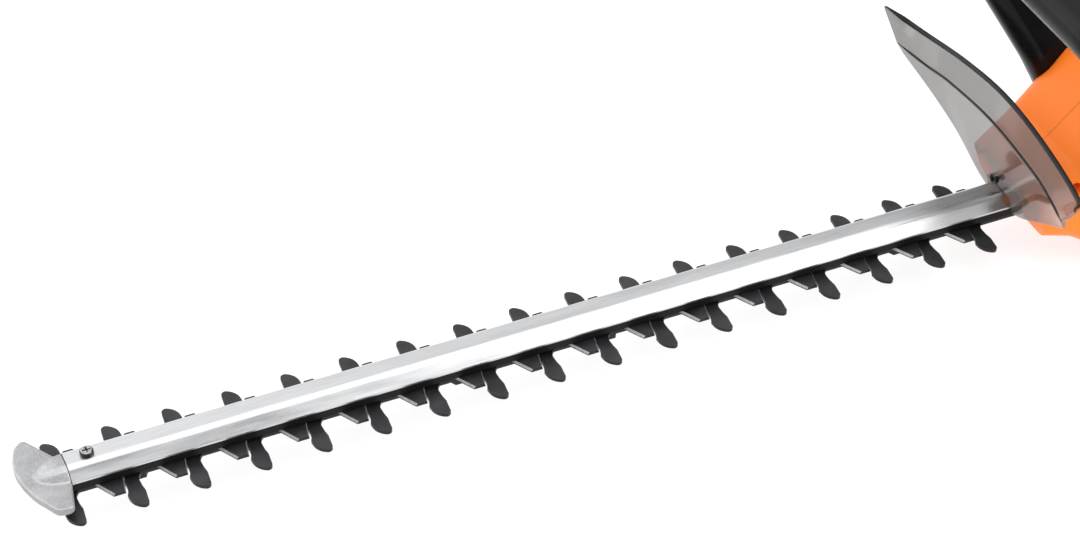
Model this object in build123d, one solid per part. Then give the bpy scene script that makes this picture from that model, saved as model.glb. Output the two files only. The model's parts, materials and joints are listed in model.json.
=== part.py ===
from build123d import *
import math
import os

# A battery hedge trimmer with a 22 inch double-sided blade. Millimetres.
# X runs along the tool: the blade tip points to -X and the battery to +X.
# Z is up, the tool lies on z = 0, and x = 0 is the middle of its length. It is
# symmetric about y = 0 but for the blade teeth, the tip guard's plate, the screws
# and the spring coil.

# ---- driving dimensions: the tool as a whole -------------------------------
TOOL_LENGTH = 1010
TIP_X = -TOOL_LENGTH / 2
REAR_X = TOOL_LENGTH / 2
BLADE_Z = 28.0

# ---- driving dimensions: the blades ----------------------------------------
TOOTH_PITCH = 33.0
TOOTH_COUNT = 17
FIRST_TOOTH_X = TIP_X + 22
BLADE_THICKNESS = 2.0
BLADE_GAP = 0.1
BLADE_HALF_WIDTH = 8.3
STROKE = TOOTH_PITCH / 4
CUTTER_SHIFT = 11.0
CUTTER_LEAN = 2.2
CUTTER_ROOT_HALF = 8.2
CUTTER_END_HALF = 3.2
CUTTER_END_Y = 20.3
CUTTER_LAND = 0.6
CUTTER_BEVEL = 0.7
LOWER_BLADE = (BLADE_Z - BLADE_THICKNESS, BLADE_Z)
UPPER_BLADE = (BLADE_Z + BLADE_GAP, BLADE_Z + BLADE_GAP + BLADE_THICKNESS)
BLADE_FRONT_X = FIRST_TOOTH_X - 10
BOLT_COUNT = 6
BOLT_PITCH = 88.7
FIRST_BOLT_X = FIRST_TOOTH_X + 40
BOLT_RADIUS = 2.0
BUSH_RADIUS = 3.5
RUNNING_GAP = 0.1

# ---- driving dimensions: the bar over the blades ---------------------------
STRIP = (BLADE_Z + 2.8, BLADE_Z + 7.8)
BAR = (BLADE_Z + 7.8, BLADE_Z + 15.2)
BAR_FOOT_HALF = 11.5
BAR_TOP_HALF = 5.6
BAR_ROUNDING = 5.0
BAR_FRONT_X = FIRST_TOOTH_X + 2.7
BAR_REAR_X = 113.0
GUARD_SCREW_X = FIRST_TOOTH_X + 14.4
NOSE_PLATE = (BLADE_Z + 5.2, BLADE_Z + 9.4)
DOME_LENGTH = 18.0

# ---- driving dimensions: gears and motor -----------------------------------
GEAR_X = 149.0
MODULE = 1.0
GEAR_TEETH = 55
PINION_TEETH = 11
CENTRE_DISTANCE = MODULE * (GEAR_TEETH + PINION_TEETH) / 2
MOTOR_X = GEAR_X + CENTRE_DISTANCE
BACKLASH = 0.25
GEAR = (32.0, 40.0)
SHAFT_RADIUS = 3.5
SHAFT_GAP = 0.05
CAM_RADIUS = 14.0
YOKE_HALF_X = CAM_RADIUS + 2 * STROKE + 0.4
YOKE_HALF_Y = CAM_RADIUS + STROKE + 0.4
YOKE_WALL = 4.5
BEARING_RADIUS = 9.5
BASE = (19.0, UPPER_BLADE[1] + 0.3)
BASE_FLOOR = LOWER_BLADE[0] - 0.3
GEARBOX_FRONT_X = 106.0
GEARBOX_REAR_X = 199.0
GEARBOX_HALF_WIDTH = 33.0
GEARBOX_TOP = 52.0
MOTOR_RADIUS = 18.0
MOTOR = (GEARBOX_TOP, 100.0)
MOTOR_SHAFT_RADIUS = 1.6

# ---- driving dimensions: housing -------------------------------------------
WALL = 2.6
NOSE_TOP = (69.0, 53.0)
NOSE_BOTTOM = (77.0, 27.0)
# x, half width, bottom, top, corner radius of the sections of the front body.
BODY_STATIONS = [
    (64.0, 34.5, 30.5, 50.0, 8.0),
    (94.0, 39.5, 21.7, 71.0, 12.0),
    (108.0, 41.5, 12.5, 84.0, 14.0),
    (124.0, 43.5, 0.0, 101.0, 16.0),
    (157.0, 45.0, 0.0, 118.0, 18.0),
    (225.0, 45.0, 0.0, 122.0, 18.0),
    (264.0, 30.0, 8.0, 124.0, 14.0),
]
HANDLE_HALF_WIDTH = 18.0
SHOE_HALF_WIDTH = 38.0
SHOE = (52.4, 66.0)
SHOE_FRONT_X = 345.0
GRIP_ROUNDING = 9.0
HOUSING_SCREWS = [
    (92.0, 61.0),
    (140.0, 100.0),
    (232.0, 104.0),
    (232.0, 16.0),
    (272.0, 76.0),
    (310.0, 42.0),
    (400.0, 122.0),
    (440.0, 86.0),
]

# ---- driving dimensions: front handle and hand guard -----------------------
BAIL_X = 130.0
BAIL_Z = 78.0
BAIL_LEAN = 25.0
BAIL_TOP = 112.0
BAIL_SECTION = (24.0, 38.0)
BAIL_WALL = 2.6
GUARD_THICKNESS = 2.6
GUARD_SCREW = (0.0, 50.6)
GUARD_REST = (26.0, 52.0)
GUARD_BOSS_RADIUS = 3.5

# ---- driving dimensions: battery -------------------------------------------
BATTERY_FRONT_X = 363.0
BATTERY_TOP = 52.0
CELL_RADIUS = 10.5
CELL_LENGTH = 70.0
CELL_COLUMNS = 5
CELL_ROWS = 2
TERMINAL_YS = (-9.0, -3.0, 3.0, 9.0)

# ---- driving dimensions: trigger ---------------------------------------------
TRIGGER_PIVOT = (296.0, 117.0)

LEFT = -1
RIGHT = 1
SIDES = (LEFT, RIGHT)


# ---- small helpers ----------------------------------------------------------
def block(x_span, y_span, z_span):
    """A box between two x, two y and two z values."""
    size = [span[1] - span[0] for span in (x_span, y_span, z_span)]
    middle = [(span[0] + span[1]) / 2 for span in (x_span, y_span, z_span)]
    return Pos(*middle) * Box(*size)


def disc(x, y, z_span, radius):
    """An upright cylinder."""
    return Pos(x, y, sum(z_span) / 2) * Cylinder(radius, z_span[1] - z_span[0])


def ring(x, y, z_span, outer, inner):
    """An upright tube."""
    return disc(x, y, z_span, outer) - disc(x, y, (z_span[0] - 1, z_span[1] + 1), inner)


def rod(x, z, y_span, radius):
    """A cylinder that lies across the tool."""
    length = y_span[1] - y_span[0]
    return Pos(x, sum(y_span) / 2, z) * Rot(90, 0, 0) * Cylinder(radius, length)


def along(y, z, x_span, radius):
    """A cylinder that lies along the tool."""
    length = x_span[1] - x_span[0]
    return Pos(sum(x_span) / 2, y, z) * Rot(0, 90, 0) * Cylinder(radius, length)


def plate(points, z_span):
    """A flat plate with the outline given in x and y."""
    face = make_face(Polyline(*points, close=True))
    return Pos(0, 0, z_span[0]) * extrude(face, z_span[1] - z_span[0])


def side_face(points, radius=0.0):
    """A face in the x-z plane through points, with its corners rounded."""
    if radius:
        outline = FilletPolyline(*points, radius=radius, close=True)
    else:
        outline = Polyline(*points, close=True)
    return Plane.XZ * make_face(outline)


def across(face, y_span):
    """A face of the x-z plane, made solid from one y to another."""
    return Pos(0, y_span[0], 0) * extrude(face, y_span[1] - y_span[0], dir=(0, 1, 0))


def save(name, *solids):
    """Writes one node, of one solid or of a group of them."""
    shapes = [solid for shape in solids for solid in shape.solids()]
    node = shapes[0] if len(shapes) == 1 else Compound(children=shapes)
    export_step(node, f"parts/{name}.step")


# ---- blades ------------------------------------------------------------------
def finger_face():
    """One long blunt finger of the lower blade, pointing to +Y and hooked to +X."""
    return make_face([
        ThreePointArc((-7.0, 7.8), (-4.4, 10.6), (-3.6, 14.5)),
        Line((-3.6, 14.5), (-3.7, 18.0)),
        Line((-3.7, 18.0), (-4.3, 22.0)),
        Line((-4.3, 22.0), (-3.6, 29.0)),
        ThreePointArc((-3.6, 29.0), (-2.7, 31.2), (-0.6, 31.8)),
        ThreePointArc((-0.6, 31.8), (3.3, 28.8), (5.1, 24.2)),
        Line((5.1, 24.2), (5.3, 21.8)),
        ThreePointArc((5.3, 21.8), (4.0, 18.4), (3.7, 14.6)),
        ThreePointArc((3.7, 14.6), (4.9, 10.6), (7.5, 7.8)),
        Line((7.5, 7.8), (-7.0, 7.8)),
    ])


def cutter_outline(inset=0.0):
    """The outline of a cutting tooth that leans to -X, its slanted sides moved in by inset."""
    root, end = CUTTER_ROOT_HALF - inset, CUTTER_END_HALF - inset
    foot_y = BLADE_HALF_WIDTH - 0.5
    middle = -CUTTER_LEAN
    return [(-root, foot_y), (root, foot_y), (middle + end, CUTTER_END_Y), (middle - end, CUTTER_END_Y)]


def cutter():
    """One short cutting tooth of the upper blade, pointing to +Y, ground on its slanted sides."""
    bevel_low = UPPER_BLADE[0] + CUTTER_LAND
    edge = plate(cutter_outline(), (UPPER_BLADE[0], bevel_low))
    low = Pos(0, 0, bevel_low) * make_face(Polyline(*cutter_outline(), close=True))
    high = Pos(0, 0, UPPER_BLADE[1]) * make_face(Polyline(*cutter_outline(CUTTER_BEVEL), close=True))
    return edge + loft([low, high], ruled=True)


def bolt_places():
    """The x of each blade bolt."""
    return [FIRST_BOLT_X + BOLT_PITCH * i for i in range(BOLT_COUNT)]


def tooth_places(shift=0.0):
    """The x of each tooth along one side."""
    return [FIRST_TOOTH_X + shift + TOOTH_PITCH * i for i in range(TOOTH_COUNT)]


def blade_plate(z_span):
    """The flat rail of a blade, its yoke around the cam, and its bolt slots."""
    height = z_span[1] - z_span[0]
    middle = sum(z_span) / 2
    rail_rear = GEAR_X - YOKE_HALF_X - 1
    rail = block((BLADE_FRONT_X, rail_rear), (-BLADE_HALF_WIDTH, BLADE_HALF_WIDTH), z_span)
    frame = RectangleRounded(2 * (YOKE_HALF_X + YOKE_WALL), 2 * (YOKE_HALF_Y + YOKE_WALL), 8)
    window = RectangleRounded(2 * YOKE_HALF_X, 2 * YOKE_HALF_Y, 6)
    yoke = Pos(GEAR_X, 0, z_span[0]) * extrude(frame - window, height)
    slot_width = 2 * (BUSH_RADIUS + RUNNING_GAP)
    slot = extrude(SlotOverall(2 * (STROKE + 0.25) + slot_width, slot_width), height + 2, both=True)
    slots = [Pos(x, 0, middle) * slot for x in bolt_places()]
    return rail + yoke - slots


def lower_blade():
    """Its fingers hook to the rear on one side and to the front on the other."""
    finger = Pos(0, 0, LOWER_BLADE[0]) * extrude(finger_face(), BLADE_THICKNESS)
    fingers = []
    for x in tooth_places():
        fingers += [Pos(x, 0, 0) * finger, Pos(x, 0, 0) * Rot(0, 0, 180) * finger]
    return blade_plate(LOWER_BLADE) + fingers


def upper_blade():
    """Its two rows of teeth are staggered, and the left row has one tooth fewer."""
    tooth = cutter()
    teeth = [Pos(x, 0, 0) * tooth for x in tooth_places(CUTTER_SHIFT)]
    teeth += [Pos(x, 0, 0) * Rot(0, 0, 180) * tooth for x in tooth_places(-CUTTER_SHIFT)[1:]]
    return blade_plate(UPPER_BLADE) + teeth


# ---- bar, guide strip, tip guard and blade bolts ----------------------------
def bar_section(x, inset=0.0):
    """The bar's trapezoid at x, with its ridges rounded."""
    foot = BAR_FOOT_HALF - inset
    top = BAR_TOP_HALF - inset
    points = [(-foot, BAR[0]), (foot, BAR[0]), (foot, BAR[0] + 1), (top, BAR[1]), (-top, BAR[1]),
              (-foot, BAR[0] + 1)]
    face = Plane.YZ * make_face(Polyline(*points, close=True))
    return Pos(x, 0, 0) * face


def blade_bar():
    bar = extrude(bar_section(BAR_FRONT_X), BAR_REAR_X - BAR_FRONT_X, dir=(1, 0, 0))
    ridges = bar.edges().filter_by(Axis.X).group_by(Axis.Z)[-1]
    bar = fillet(ridges, BAR_ROUNDING)
    holes = [disc(x, 0, (STRIP[0], BAR[1] - 2.0), BOLT_RADIUS + 0.05) for x in bolt_places()]
    tongue_slot = block((BAR_FRONT_X - 1, BAR_FRONT_X + 19.5), (-5.2, 5.2), (BAR[0] - 1, BAR[0] + 4.2))
    screw_hole = disc(GUARD_SCREW_X, 0, (BAR[0], BAR[1] + 1), 1.8)
    rear_holes = [disc(x, 0, (BAR[0] + 1, BAR[1] + 1), 1.55) for x in bar_screw_places()]
    return bar - holes - tongue_slot - screw_hole - rear_holes


def guide_strip():
    strip = block((BAR_FRONT_X + 0.2, BAR_REAR_X - 14), (-11.0, 11.0), STRIP)
    strip -= [disc(x, 0, (STRIP[0] - 1, STRIP[1] + 1), BOLT_RADIUS + 0.2) for x in bolt_places()]
    front = block((BAR_FRONT_X - 1, BAR_FRONT_X + 19.5), (-5.2, 5.2), (STRIP[1] - 1.0, STRIP[1] + 1))
    return strip - front


def dome_section(share):
    """The bar's cross-section, shrunk as the dome falls to the front; share runs from 0 to 1."""
    scale = math.sqrt(1 - share ** 2)
    low = BAR[0] - 2
    foot, top, height = BAR_FOOT_HALF - 0.1, BAR_TOP_HALF - 0.1, BAR[1] - low
    half = [(foot, 0), (foot, 3), (top + 1.5, height - 1.6), (top - 2.1, height)]
    points = half + [(-y, z) for y, z in reversed(half)]
    scaled = [(y * scale, low + z * scale) for y, z in points]
    x = BAR_FRONT_X - 0.2 - DOME_LENGTH * share
    return Pos(x, 0, 0) * (Plane.YZ * make_face(Polyline(*scaled, close=True)))


def nose_outline():
    """The swept outline of the nose plate, each corner with its rounding."""
    rear = BAR_FRONT_X - 0.2
    corners = [
        (rear, 6.5, 0.5), (TIP_X + 10.3, 29.8, 2.6), (TIP_X + 4.3, 25.0, 8), (TIP_X + 0.8, 15.0, 16),
        (TIP_X, 9.0, 16), (TIP_X, 4.5, 16), (TIP_X + 1.2, -3.0, 16), (TIP_X + 4.4, -13.5, 25),
        (TIP_X + 12.5, -28.2, 5), (TIP_X + 20.8, -28.7, 3.2), (rear, -11.8, 0.5),
    ]
    points = [(x, y) for x, y, radius in corners]
    radii = [radius for x, y, radius in corners]
    return make_face(FilletPolyline(*points, radius=radii, close=True))


def tip_guard():
    """A swept nose plate with a rounded dome that carries on the bar's shape."""
    flange = Pos(0, 0, NOSE_PLATE[0]) * extrude(nose_outline(), NOSE_PLATE[1] - NOSE_PLATE[0])
    flange = fillet(flange.edges().group_by(Axis.Z)[-1], 0.9)
    dome = loft([dome_section(share) for share in (0, 0.3, 0.55, 0.75, 0.9, 0.985)], ruled=True)
    tongue = block((BAR_FRONT_X - 2, BAR_FRONT_X + 19), (-5, 5), (BAR[0] - 0.8, BAR[0] + 4))
    screw_hole = disc(GUARD_SCREW_X, 0, (BAR[0] - 2, BAR[0] + 5), 1.55)
    return flange + dome + tongue - screw_hole


def tip_guard_screw():
    """A pan-head screw with a cross recess."""
    head = disc(GUARD_SCREW_X, 0, (BAR[1], BAR[1] + 2.8), 3.7)
    head = fillet(head.edges().group_by(Axis.Z)[-1], 1.2)
    shank = disc(GUARD_SCREW_X, 0, (BAR[0], BAR[1]), 1.5)
    return head + shank - cross_recess(GUARD_SCREW_X, 0, BAR[1] + 2.8)


def cross_recess(x, y, top, size=2.2):
    """A cross-shaped driver recess, open upwards at top."""
    wing = block((-size, size), (-0.45, 0.45), (-1.5, 0.5))
    return Pos(x, y, top) * (wing + Rot(0, 0, 90) * wing)


def blade_bolt(x):
    head_top = LOWER_BLADE[0] - 1.2
    head = Pos(x, 0, head_top - 5.4) * extrude(RegularPolygon(5.2, 6), 5.4)
    return head + disc(x, 0, (head_top, BAR[1] - 3), BOLT_RADIUS)


def blade_washer(x):
    return ring(x, 0, (LOWER_BLADE[0] - 1.2, LOWER_BLADE[0] - 0.2), 7.0, BOLT_RADIUS + 0.2)


def blade_bush(x):
    return ring(x, 0, (LOWER_BLADE[0] - 0.2, STRIP[0]), BUSH_RADIUS, BOLT_RADIUS + 0.2)


# ---- gears -------------------------------------------------------------------
def involute_gear(teeth, z_span, addendum, bore):
    """A spur gear with involute flanks, one tooth pointing to +X."""
    pitch_radius = MODULE * teeth / 2
    base_radius = pitch_radius * math.cos(math.radians(20))
    tip_radius = pitch_radius + addendum
    root_radius = pitch_radius - 1.25 * MODULE
    start_radius = max(base_radius, root_radius)
    half_tooth = (math.pi * MODULE / 2 - BACKLASH) / (2 * pitch_radius)

    def roll(radius):
        """The involute's angle at a radius."""
        slope = math.acos(min(1.0, base_radius / radius))
        return math.tan(slope) - slope

    def half_angle(radius):
        return half_tooth + roll(pitch_radius) - roll(radius)

    def at(radius, angle):
        return (radius * math.cos(angle), radius * math.sin(angle))

    middle_radius = (start_radius + tip_radius) / 2
    flank_radii = (start_radius, middle_radius, tip_radius)
    lower = [at(radius, -half_angle(radius)) for radius in flank_radii]
    upper = [at(radius, half_angle(radius)) for radius in flank_radii]
    foot_radius = root_radius - 0.4
    feet = [at(foot_radius, -half_angle(start_radius)), at(foot_radius, half_angle(start_radius))]
    tooth = make_face([
        Line(feet[0], lower[0]),
        ThreePointArc(*lower),
        ThreePointArc(lower[2], at(tip_radius, 0), upper[2]),
        ThreePointArc(*reversed(upper)),
        Line(upper[0], feet[1]),
        Line(feet[1], feet[0]),
    ])
    teeth_faces = [Rot(0, 0, 360 / teeth * i) * tooth for i in range(teeth)]
    face = Circle(root_radius) + teeth_faces - Circle(bore)
    return Pos(0, 0, z_span[0]) * extrude(face, z_span[1] - z_span[0])


def drive_gear():
    """The big gear, turned half a tooth so that a gap faces the pinion."""
    gear = involute_gear(GEAR_TEETH, GEAR, 0.9, SHAFT_RADIUS)
    hub = ring(0, 0, (GEAR[1], GEAR[1] + 2.2), 8, SHAFT_RADIUS)
    lightening = [Rot(0, 0, 60 * i) * disc(16, 0, (GEAR[0] - 1, GEAR[1] + 1), 4.5) for i in range(6)]
    turned = Rot(0, 0, 180 / GEAR_TEETH) * (gear + hub - lightening)
    return Pos(GEAR_X, 0, 0) * turned


def cam(side, z_span):
    """One eccentric disc on the gear shaft."""
    body = disc(GEAR_X, side * STROKE, z_span, CAM_RADIUS)
    return body - disc(GEAR_X, 0, (z_span[0] - 1, z_span[1] + 1), SHAFT_RADIUS)


def gear_bearing(z_span):
    return ring(GEAR_X, 0, z_span, BEARING_RADIUS, SHAFT_RADIUS + SHAFT_GAP)


def gearbox_screw_places():
    middle = GEARBOX_HALF_WIDTH - 2.5
    return [(x, side * middle) for x in (GEARBOX_FRONT_X + 10, GEARBOX_REAR_X - 8) for side in SIDES]


def motor_screw_places():
    return [(MOTOR_X, side * 12.5) for side in SIDES]


def bar_screw_places():
    return [BAR_REAR_X - 26, BAR_REAR_X - 10]


def belly_screw_places():
    return [(x, side * 16.0) for x in (138.0, 192.0) for side in SIDES]


def gearbox_base():
    """The tray under the blade yokes: a floor, side walls and the lower bearing's seat."""
    walls_x = (GEARBOX_FRONT_X, GEARBOX_REAR_X)
    half = GEARBOX_HALF_WIDTH
    tray = block(walls_x, (-half, half), BASE)
    room = block((GEARBOX_FRONT_X - 1, GEARBOX_REAR_X - 5), (5 - half, half - 5), (BASE_FLOOR, BASE[1] + 1))
    boss = disc(GEAR_X, 0, (14.0, BASE[0] + 1), 13.0)
    seat = disc(GEAR_X, 0, (15.5, 22.0), BEARING_RADIUS)
    shaft_hole = disc(GEAR_X, 0, (21.0, BASE_FLOOR + 1), SHAFT_RADIUS + 0.6)
    posts = [disc(x, y, (3.4, BASE[0] + 0.5), 5.0) for x, y in belly_screw_places()]
    post_holes = [disc(x, y, (2.0, 15.0), 1.6) for x, y in belly_screw_places()]
    wall_holes = [disc(x, y, (BASE[1] - 9, BASE[1] + 1), 1.6) for x, y in gearbox_screw_places()]
    return tray - room + boss + posts - seat - shaft_hole - post_holes - wall_holes


def gearbox_cover():
    """The cast cover over the gears, with a tongue that holds the bar."""
    low = BASE[1]
    flange = block((GEARBOX_FRONT_X + 5, GEARBOX_REAR_X), (-GEARBOX_HALF_WIDTH, GEARBOX_HALF_WIDTH),
                   (low, low + 3))
    dome = disc(GEAR_X, 0, (low, GEARBOX_TOP), 31.4) + disc(MOTOR_X, 0, (low, GEARBOX_TOP), 16.5)
    tongue = block((BAR_REAR_X - 32, GEAR_X - 20), (-9, 9), (BAR[1] + 0.1, BAR[1] + 4.1))
    gear_room = disc(GEAR_X, 0, (low - 1, GEAR[1] + 2.6), GEAR_TEETH / 2 + 1.7)
    pinion_room = disc(MOTOR_X, 0, (low - 1, GEAR[1] + 2.6), PINION_TEETH / 2 + 1.9)
    pinion_hole = disc(MOTOR_X, 0, (low, GEARBOX_TOP + 1), PINION_TEETH / 2 + 1.9)
    bearing_seat = disc(GEAR_X, 0, (GEAR[1], 49.0), BEARING_RADIUS)
    shaft_room = disc(GEAR_X, 0, (48.0, 50.6), SHAFT_RADIUS + 0.5)
    bar_room = block((GEARBOX_FRONT_X, BAR_REAR_X + 0.3), (-BAR_FOOT_HALF - 0.3, BAR_FOOT_HALF + 0.3),
                     (low - 1, BAR[1] + 0.1))
    flange_holes = [disc(x, y, (low - 1, low + 4), 1.8) for x, y in gearbox_screw_places()]
    motor_holes = [disc(x, y, (GEAR[1], GEARBOX_TOP + 1), 1.8) for x, y in motor_screw_places()]
    bar_holes = [disc(x, 0, (BAR[1] - 1, BAR[1] + 5), 1.8) for x in bar_screw_places()]
    cast = flange + dome + tongue - bar_room
    return cast - gear_room - pinion_room - pinion_hole - bearing_seat - shaft_room \
        - flange_holes - motor_holes - bar_holes


def cap_screw(x, y, seat, length, head_radius=2.8, shank_radius=1.5):
    """A screw that stands on a seat and points down."""
    head = disc(x, y, (seat, seat + 2.4), head_radius)
    socket = Pos(x, y, seat + 1.0) * extrude(RegularPolygon(1.4, 6), 2)
    return head + disc(x, y, (seat - length, seat), shank_radius) - socket


# ---- motor -------------------------------------------------------------------
def motor_can():
    """A drawn steel can, closed at its lower end."""
    shell = ring(MOTOR_X, 0, MOTOR, MOTOR_RADIUS, MOTOR_RADIUS - 1.6)
    floor = ring(MOTOR_X, 0, (MOTOR[0], MOTOR[0] + 2), MOTOR_RADIUS - 1.0, 5.0)
    vents = [disc(MOTOR_X + side * 12.5, 0, (MOTOR[0] - 1, MOTOR[0] + 3), 2.6) for side in SIDES]
    holes = [disc(x, y, (MOTOR[0] - 1, MOTOR[0] + 3), 1.6) for x, y in motor_screw_places()]
    return shell + floor - vents - holes


def magnet(side):
    """One of the two curved magnets inside the can."""
    tube = ring(MOTOR_X, 0, (MOTOR[0] + 7, MOTOR[1] - 6), MOTOR_RADIUS - 1.8, 13.6)
    keep = block((MOTOR_X - 11, MOTOR_X + 11), sorted((side * 4, side * 20)), (50, 110))
    return tube & keep


def end_bell():
    """The plastic cap that closes the can and carries the brushes."""
    cap = ring(MOTOR_X, 0, (MOTOR[1], MOTOR[1] + 3.2), MOTOR_RADIUS, 3.6)
    plug = ring(MOTOR_X, 0, (MOTOR[1] - 2, MOTOR[1]), MOTOR_RADIUS - 1.8, 7.0)
    return cap + plug


def motor_bearing(z_span):
    return ring(MOTOR_X, 0, z_span, 3.5, MOTOR_SHAFT_RADIUS + SHAFT_GAP)


def armature():
    """The rotor's iron core with five slots."""
    core = ring(0, 0, (62, 88), 12.8, MOTOR_SHAFT_RADIUS)
    slots = [Rot(0, 0, 72 * i) * slot_shape() for i in range(5)]
    return Pos(MOTOR_X, 0, 0) * (core - slots)


def slot_shape():
    """One winding slot, narrow at its mouth and wide inside."""
    mouth = block((7, 14), (-1, 1), (61, 89))
    return mouth + disc(8.2, 0, (61, 89), 2.9)


def winding(index):
    """The copper in one slot, with its end turns."""
    wire = disc(8.2, 0, (58.5, 90.5), 2.5)
    return Pos(MOTOR_X, 0, 0) * Rot(0, 0, 72 * index) * wire


def commutator():
    body = ring(0, 0, (91.0, 97.0), 4.6, MOTOR_SHAFT_RADIUS)
    cuts = [Rot(0, 0, 36 + 72 * i) * block((3.6, 6), (-0.3, 0.3), (90, 98)) for i in range(5)]
    return Pos(MOTOR_X, 0, 0) * (body - cuts)


def cooling_fan():
    hub = ring(0, 0, (104.4, 109.6), 5.0, MOTOR_SHAFT_RADIUS)
    floor = ring(0, 0, (104.4, 105.8), 16.0, 4.0)
    vanes = [Rot(0, 0, 360 / 9 * i) * block((4.4, 15.6), (-0.7, 0.7), (105, 109.6)) for i in range(9)]
    return Pos(MOTOR_X, 0, 0) * (hub + floor + vanes)


def pinion():
    """The motor pinion, with a tooth pointing at the gear."""
    gear = involute_gear(PINION_TEETH, (GEAR[0] + 0.6, GEAR[1] + 0.6), 0.85, MOTOR_SHAFT_RADIUS)
    return Pos(MOTOR_X, 0, 0) * Rot(0, 0, 180) * gear


# ---- housing -----------------------------------------------------------------
def body_section(x, half_width, bottom, top, radius, inset):
    """One rounded section across the front body."""
    width = 2 * (half_width - inset)
    height = top - bottom - 2 * inset
    face = RectangleRounded(width, height, max(radius - inset, 1.5))
    plane = Plane(origin=(x, 0, (top + bottom) / 2), x_dir=(0, 1, 0), z_dir=(1, 0, 0))
    return plane * face


def front_body(inset=0.0):
    """The motor and gear hump, from the raked nose to the rear handle."""
    sections = [body_section(*station, inset) for station in BODY_STATIONS]
    body = loft(sections, ruled=True)
    rake = (NOSE_BOTTOM[0] - NOSE_TOP[0]) / (NOSE_TOP[1] - NOSE_BOTTOM[1])
    foot = (NOSE_BOTTOM[0] + rake * NOSE_BOTTOM[1] + inset, 0)
    crown = (NOSE_TOP[0] - rake * (120 - NOSE_TOP[1]) + inset, 120)
    cut = across(side_face([(0, 0), foot, crown, (0, 120)]), (-60, 60))
    return body - cut


def handle_face(inset=0.0):
    """The side view of the rear handle, without its finger opening."""
    corners = [
        (238.0, 22.0), (330.0, 20.0), (338.0, 6.0), (360.0, 6.0), (360.0, 44.0), (492.0, 44.0),
        (450.0, 93.0), (430.0, 125.0), (385.0, 137.0), (300.0, 139.0), (262.0, 124.0), (238.0, 123.0),
    ]
    face = side_face(corners, [3, 4, 3, 3, 3, 7, 24, 22, 40, 24, 12, 3])
    return offset(face, -inset) if inset else face


def finger_opening(outset=0.0):
    """The gap for the hand, between the grip and the lower bar."""
    face = side_face([
        (288.0, 62.0), (396.0, 70.0), (420.0, 86.0), (404.0, 107.0), (300.0, 109.0), (284.0, 98.0),
    ], GRIP_ROUNDING)
    return offset(face, outset) if outset else face


def rear_handle(inset=0.0):
    """The closed rear handle with its rounded grip."""
    half = HANDLE_HALF_WIDTH - inset
    loop = across(handle_face(inset) - finger_opening(inset), (-half, half))
    rims = [edge for edge in loop.edges() if abs(abs(edge.center().Y) - half) < 0.01]
    battery_space = block((361.0 - inset, 520), (-60, 60), (-10, SHOE[0] + 1.6 + inset))
    return fillet(rims, GRIP_ROUNDING - inset) - battery_space


def battery_shoe(inset=0.0):
    """The block that the battery hangs from."""
    half = SHOE_HALF_WIDTH - inset
    top = block((SHOE_FRONT_X + inset, REAR_X - inset), (-half, half), (SHOE[0] + inset, SHOE[1] - inset))
    top = fillet(top.edges().filter_by(Axis.Z), 10 - inset)
    wall = block((SHOE_FRONT_X + inset, 361.0 - inset), (-half, half), (4.0 + inset, SHOE[1] - 4))
    wall = fillet(wall.edges().filter_by(Axis.Z).group_by(Axis.X)[0], 10 - inset)
    return top + wall


def battery_rail(side):
    """One L-shaped rail under the shoe."""
    neck = block((366, 480), sorted((side * 25, side * 30)), (47.8, SHOE[0] + 0.2))
    lip = block((366, 480), sorted((side * 21, side * 30)), (47.8, 49.6))
    return neck + lip


def vent_slots(side):
    """Slanted cooling slots in the side of the motor hump."""
    slot = across(Plane.XZ * SlotOverall(34, 3.4), sorted((side * 30, side * 60)))
    return [Pos(192 + 2.4 * i, 0, 46 + 7.4 * i) * slot for i in range(6)]


def guard_boss(gap=0.0):
    """The boss on the nose that takes the guard's screw; the right half carries it."""
    return along(*GUARD_SCREW, (60.0, 76.0 + gap), GUARD_BOSS_RADIUS + gap)


def guard_rest(side):
    """A plain pad on the nose that the guard leans on."""
    y, z = GUARD_REST
    return along(side * y, z, (60.0, 74.0), GUARD_BOSS_RADIUS) - front_body()


def housing_cuts():
    """The holes of the housing: blade, belly, trigger, lock-off button and contacts."""
    blade = block((50, 80), (-12.2, 12.2), (22.0, BAR[1] + 0.4))
    throat = block((78, 100), (-12.2, 12.2), (14.0, BAR[1] + 8))
    belly = block((130.0, 202.0), (-22.3, 22.3), (-1.0, WALL + 1))
    trigger = block((287.0, 351.0), (-8.4, 8.4), (98.0, 113.0))
    button = block((307.6, 330.4), (-6.4, 6.4), (134.0, 146.0))
    contacts = block((355.0, 362.0), (-14.0, 14.0), (20.0, 42.0))
    pin = rod(*TRIGGER_PIVOT, (-16.5, 16.5), 2.0)
    guard_hole = along(*GUARD_SCREW, (60, 80), 1.3)
    return [blade, throat, belly, trigger, button, contacts, pin, guard_hole]


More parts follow.
